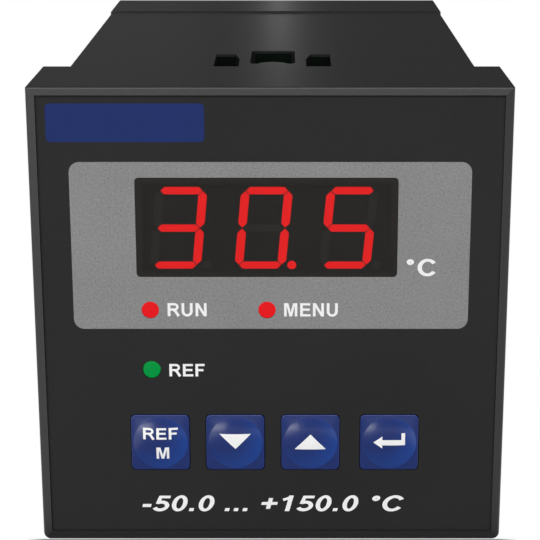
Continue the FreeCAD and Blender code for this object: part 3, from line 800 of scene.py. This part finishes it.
addPiece("rangeLegend", thicken(work, onSheet, legendLift), "whiteInk", "case")
print("front prints laid")

# Lamp lenses: low crown, rounded shoulder, collar at the back, two leads each
lensLook = {
    "profile": [(0.25, -0.030), (0.5, -0.024), (0.7, -0.012), (0.81, 0.01), (0.86, 0.05), (0.88, 0.14)],
    "points": 40, "neck": 0.9, "collar": 0.97, "collarStart": 2.0, "collarEdge": 0.08, "rear": 3.2,
}
leadLook = {"half": 0.25, "corner": 0.08, "gap": 1.27, "end": 10.95, "point": 0.7, "pointLength": 0.2}
lensSteps = lensLook["profile"] + [
    (lensLook["neck"], lensLook["collarStart"]),
    (lensLook["collar"], lensLook["collarStart"] + lensLook["collarEdge"]),
    (lensLook["collar"], lensLook["rear"] - lensLook["collarEdge"]),
    (lensLook["neck"], lensLook["rear"]),
]
leadSteps = [
    (leadLook["point"], lensLook["rear"] - leadLook["pointLength"]), (1.0, lensLook["rear"]),
    (1.0, leadLook["end"] - leadLook["pointLength"]), (leadLook["point"], leadLook["end"]),
]


def leadOutline(scale):
    half = leadLook["half"] * scale
    return roundedOutline(half, half, leadLook["corner"], turn=2, side=1)


leadWork = bmesh.new()
for lamp, finish in lamps.items():
    x, z = lampPlaces[lamp]
    work = bmesh.new()
    joinLoops(work, [
        ringAt(x, z, circlePoints(radius, lensLook["points"]), sheetFront + y) for radius, y in lensSteps
    ])
    piece = addPiece(lamp.replace("_lamp", "Lamp"), work, finish, "case")
    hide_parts(lamp)
    for side in (-0.5, 0.5):
        leadX = x + side * leadLook["gap"]
        joinLoops(leadWork, [ringAt(leadX, z, leadOutline(scale), sheetFront + y) for scale, y in leadSteps])
addPiece("lampLeads", leadWork, "screwSteel", "case")
print("lamps set")

# Keys: square cap with broken edges, raised round on top, flange and stem behind
capLook = {
    "half": 3.02, "corner": 0.5, "front": -13.10, "edge": 0.08, "edgeSteps": 4, "sharp": 30,
    "domeRadius": 2.80, "domeHeight": 0.42, "domeCurve": 2.6, "domeSteps": 16,
    "flangeFront": -10.55, "flangeRear": -9.95, "flangeReach": 0.46,
    "stem": 1.5, "stemCorner": 0.2, "stemEnd": -8.85,
}
keyLegends = {
    "set": [("REF", (-1.77, 1.83, 0.43, 1.70)), ("M", (-0.41, 0.91, -1.66, -0.39))],
    "down": [[(-1.63, 1.07), (0.03, -0.55), (1.62, 1.07)]],
    "up": [[(-1.64, -0.60), (1.60, -0.60), (0.01, 1.04)]],
    "enter": [[
        (-1.66, 0.14), (-0.74, -0.49), (-0.74, -0.15), (1.62, -0.15), (1.62, 1.14),
        (1.24, 1.14), (1.24, 0.42), (-0.74, 0.42), (-0.74, 0.80),
    ]],
}
legendDrape = {"cell": 0.3, "lift": 0.018, "sink": 0.03}


def domeRise(reach):
    share = min(1.0, reach / capLook["domeRadius"])
    return capLook["domeHeight"] * (1 - share ** capLook["domeCurve"])


def keyCap(x, z):
    outline = roundedOutline(capLook["half"], capLook["half"], capLook["corner"])
    angles = [math.atan2(dz, dx) for dx, dz in outline]

    def circle(radius):
        return [(radius * math.cos(angle), radius * math.sin(angle)) for angle in angles]

    def inset(amount):
        half = capLook["half"] - amount
        return roundedOutline(half, half, capLook["corner"] - amount)

    loops = []
    for step in range(1, capLook["domeSteps"] + 1):
        radius = capLook["domeRadius"] * math.sin(math.pi / 2 * step / capLook["domeSteps"])
        loops.append(ringAt(x, z, circle(radius), capLook["front"] - domeRise(radius)))
    edge = capLook["edge"]
    for step in range(capLook["edgeSteps"] + 1):
        angle = math.pi / 2 * step / capLook["edgeSteps"]
        loops.append(ringAt(
            x, z, inset(edge * (1 - math.sin(angle))), capLook["front"] + edge * (1 - math.cos(angle)),
        ))
    flange = inset(-capLook["flangeReach"])
    stem = roundedOutline(capLook["stem"], capLook["stem"], capLook["stemCorner"])
    loops.append(ringAt(x, z, outline, capLook["flangeFront"]))
    loops.append(ringAt(x, z, flange, capLook["flangeFront"]))
    loops.append(ringAt(x, z, flange, capLook["flangeRear"]))
    loops.append(ringAt(x, z, stem, capLook["flangeRear"]))
    loops.append(ringAt(x, z, stem, capLook["stemEnd"]))
    work = bmesh.new()
    joinLoops(work, loops)
    return work


for keyName, marks in keyLegends.items():
    low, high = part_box(keyName + "_key")
    x, z = (low.x + high.x) / 2 / mm, (low.z + high.z) / 2 / mm
    body = "key_" + keyName
    paintwork = keyFinish(keyName + "KeyBlue", x * mm, z * mm, capLook["domeRadius"] * mm)
    piece = addPiece(keyName + "Key", keyCap(x, z), paintwork, body, capLook["sharp"])
    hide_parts(keyName + "_key")

    def onDome(px, pz):
        return capLook["front"] - domeRise(math.hypot(px - x, pz - z))

    for index, mark in enumerate(marks):
        if isinstance(mark, tuple):
            words, (left, right, foot, head) = mark
            work = fitLetters(words, (x + left, x + right, z + foot, z + head))
        else:
            work = flatWork(outlineCurve([shifted(mark, x, z)]))
        work = thicken(work, onDome, legendDrape["lift"], legendDrape["sink"], legendDrape["cell"])
        addPiece(keyName + "Mark" + str(index + 1), work, "whiteInk", body)
print("keys capped")

# Terminal screws: round heads with a broken edge and a straight slot
screwLook = {
    "profile": [(1.42, 0), (1.5, 0.08), (1.5, 1.12), (1.44, 1.27), (1.3, 1.36), (0.9, 1.4)],
    "radius": 1.5, "height": 1.4, "points": 48, "slotHalf": 0.25, "slotDepth": 0.6, "slotLength": 4,
    "ways": 5, "turns": (20, 75, 140, 35, 100), "sharp": 30,
}
blockLow, blockHigh = [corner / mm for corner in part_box("terminal_screws")]


def screwHead():
    work = bmesh.new()
    joinLoops(work, [
        ringAt(0, 0, circlePoints(radius, screwLook["points"]), y) for radius, y in screwLook["profile"]
    ])
    return work


def cutSlot(work):
    head = bpy.data.meshes.new("head")
    bmesh.ops.recalc_face_normals(work, faces=work.faces[:])
    work.to_mesh(head)
    work.free()
    headThing = bpy.data.objects.new("head", head)
    slotWork = bmesh.new()
    bmesh.ops.create_cube(slotWork, size=1.0)
    for vert in slotWork.verts:
        vert.co.x *= screwLook["slotLength"] * mm
        vert.co.y = (screwLook["height"] + vert.co.y * 2 * screwLook["slotDepth"]) * mm
        vert.co.z *= 2 * screwLook["slotHalf"] * mm
    slotMesh = bpy.data.meshes.new("slot")
    slotWork.to_mesh(slotMesh)
    slotWork.free()
    slotThing = bpy.data.objects.new("slot", slotMesh)
    for thing in (headThing, slotThing):
        bpy.context.scene.collection.objects.link(thing)
    cut = headThing.modifiers.new("slot", "BOOLEAN")
    cut.operation = "DIFFERENCE"
    cut.solver = "EXACT"
    cut.object = slotThing
    seen = headThing.evaluated_get(bpy.context.evaluated_depsgraph_get())
    made = bpy.data.meshes.new_from_object(seen)
    for thing in (headThing, slotThing):
        bpy.data.objects.remove(thing)
    return made


slotted = cutSlot(screwHead())
screwWork = bmesh.new()
spacing = (blockHigh.x - blockLow.x - 2 * screwLook["radius"]) / (screwLook["ways"] - 1)
for row, z in enumerate((blockLow.z + screwLook["radius"], blockHigh.z - screwLook["radius"])):
    for column in range(screwLook["ways"]):
        x = blockLow.x + screwLook["radius"] + spacing * column
        turn = math.radians(screwLook["turns"][(column + 2 * row) % screwLook["ways"]])
        start = len(screwWork.verts)
        screwWork.from_mesh(slotted)
        screwWork.verts.ensure_lookup_table()
        placed = Matrix.Translation(Vector((x, blockLow.y, z)) * mm) @ Matrix.Rotation(turn, 4, "Y")
        for vert in screwWork.verts[start:]:
            vert.co = placed @ vert.co
piece = addPiece("terminalScrews", screwWork, "screwSteel", "case", screwLook["sharp"])
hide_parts("terminal_screws")
bpy.data.meshes.remove(slotted)
print("screws turned in")

# Floor, lights and camera: lengths in metres, but the camera's place in mm
floorLook = {
    "half": 3.0, "gap": 0.00002, "low": level(150), "high": level(157), "cloud": 60.0, "rough": 0.9,
    # shade and foot values shape the painted shadow pool before the front and the painted contact shadow at
    # the foot of the sleeve
    "shadeFrom": -0.0129, "shadeReach": 0.34, "shadeStart": 0.0258, "shadeSoft": 0.0018,
    "shadeLeft": (0.34, 0.26), "shadeRight": (0.6, 0.45),
    "footHalf": 0.023, "footSpread": 0.12, "footSoft": 0.012, "footEnd": 0.10, "footFade": 0.03,
    "startLength": 0.00025,
}
lightLook = {
    "overhead": {"place": (0.0, -0.25, 0.65), "size": (0.9, 0.8), "power": 0.4},
    "frontPanel": {"place": (-0.10, -0.62, 0.66), "size": (1.9, 0.5), "power": 11.1},
    "leftBox": {"place": (-0.31, -0.515, 0.03), "size": (0.33, 0.105), "power": 0.41},
    "rearLeft": {"place": (-0.20, 0.60, 0.095), "size": (0.34, 0.13), "power": 0.012},
    "rearStrip": {"place": (-0.003, 0.62, 0.056), "size": (0.004, 0.05), "power": 0.0058},
}
lightAim = (0, 0.01, 0)
surround = {"behind": level(79), "before": level(128), "start": 0.1, "rise": 1.6}
viewLook = {
    "place": (1.95, -182.40, 52.32), "pitch": 16.459, "lens": 116.213, "sensor": 36,
    "shiftX": -20 / 540, "shiftY": 30 / 540, "near": 0.01, "far": 20,
}


def makeFloor():
    work = bmesh.new()
    half = floorLook["half"]
    z = cadBox[0].z - floorLook["gap"]
    corners = ((-half, -half), (half, -half), (half, half), (-half, half))
    work.faces.new([work.verts.new((x, y, z)) for x, y in corners])
    mesh = bpy.data.meshes.new("studioFloor")
    work.to_mesh(mesh)
    work.free()
    thing = bpy.data.objects.new("studioFloor", mesh)
    bpy.context.scene.collection.objects.link(thing)
    made = Finish("paleFloor", {"Roughness": floorLook["rough"], "Specular IOR Level": 0.0})
    cloud = made.grain(floorLook["cloud"])
    made.set("Base Color", cloud.between(floorLook["low"], floorLook["high"]))
    # white where it is seen or mirrored, but for a painted shadow pool before the front and a painted contact
    # shadow at the foot of the sleeve, where the floor's own lit shade shows instead
    across, depth, _ = made.place.parts()
    ahead = floorLook["shadeFrom"] - depth
    fade = (1 - ahead / floorLook["shadeReach"]).clamped()
    eased = fade * fade * (3 - fade * 2)
    paintedShadowPool = (ahead / floorLook["startLength"]).clamped() * eased
    for sign, (spread, blur) in ((1, floorLook["shadeLeft"]), (-1, floorLook["shadeRight"])):
        inside = across * sign + ahead * spread + floorLook["shadeStart"]
        paintedShadowPool = paintedShadowPool * (inside / (ahead * blur + floorLook["shadeSoft"])).clamped()
    # painted contact shadow at the foot of the sleeve
    aside = depth * floorLook["footSpread"] + floorLook["footHalf"] - abs(across)
    ending = ((floorLook["footEnd"] - depth) / floorLook["footFade"]).clamped()
    foot = (depth / floorLook["startLength"]).clamped() * (aside / floorLook["footSoft"]).clamped() * ending
    path = made.wire.node("LightPath", out="Is Camera Ray")
    seen = (path + path.twin("Is Glossy Ray") + path.twin("Is Transmission Ray")).clamped()
    plain = Wire(made.tree, made.shader.outputs["BSDF"])
    glow = made.wire.node("Emission", sockets={"Color": (1, 1, 1, 1), "Strength": 1.0})
    mixed = made.wire.node("MixShader", sockets={0: seen * (1 - paintedShadowPool - foot), 1: plain, 2: glow})
    made.wire.feed(made.tree.nodes["Material Output"].inputs["Surface"], mixed)
    mesh.materials.append(made.material)


def makeLight(name, look):
    light = bpy.data.lights.new(name, "AREA")
    light.shape = "RECTANGLE"
    light.size, light.size_y = look["size"]
    light.energy = look["power"]
    thing = bpy.data.objects.new(name, light)
    bpy.context.scene.collection.objects.link(thing)
    thing.location = look["place"]
    aim = Vector(lightAim) - Vector(look["place"])
    thing.rotation_euler = aim.to_track_quat("-Z", "Y").to_euler()
    thing.visible_camera = False


def makeWorld():
    world = bpy.data.worlds.new("studio")
    world.use_nodes = True
    wire = Wire(world.node_tree)
    _, depth, _ = wire.node("TexCoord", out="Generated").parts()
    before = ((depth * -1 - surround["start"]) * surround["rise"]).clamped()
    back = world.node_tree.nodes["Background"]
    wire.feed(back.inputs["Color"], before.between(surround["behind"], surround["before"]))
    bpy.context.scene.world = world


def makeCamera():
    eye = bpy.data.cameras.new("photoView")
    eye.sensor_fit = "HORIZONTAL"
    eye.sensor_width = viewLook["sensor"]
    eye.lens = viewLook["lens"]
    eye.shift_x = viewLook["shiftX"]
    eye.shift_y = viewLook["shiftY"]
    eye.clip_start = viewLook["near"]
    eye.clip_end = viewLook["far"]
    thing = bpy.data.objects.new("photoView", eye)
    bpy.context.scene.collection.objects.link(thing)
    thing.location = Vector(viewLook["place"]) * mm
    thing.rotation_euler = (math.radians(90 - viewLook["pitch"]), 0, 0)
    bpy.context.scene.camera = thing


makeFloor()
for lightName, look in lightLook.items():
    makeLight(lightName, look)
makeWorld()
makeCamera()
bpy.context.scene.view_settings.view_transform = "Standard"
print("studio set")
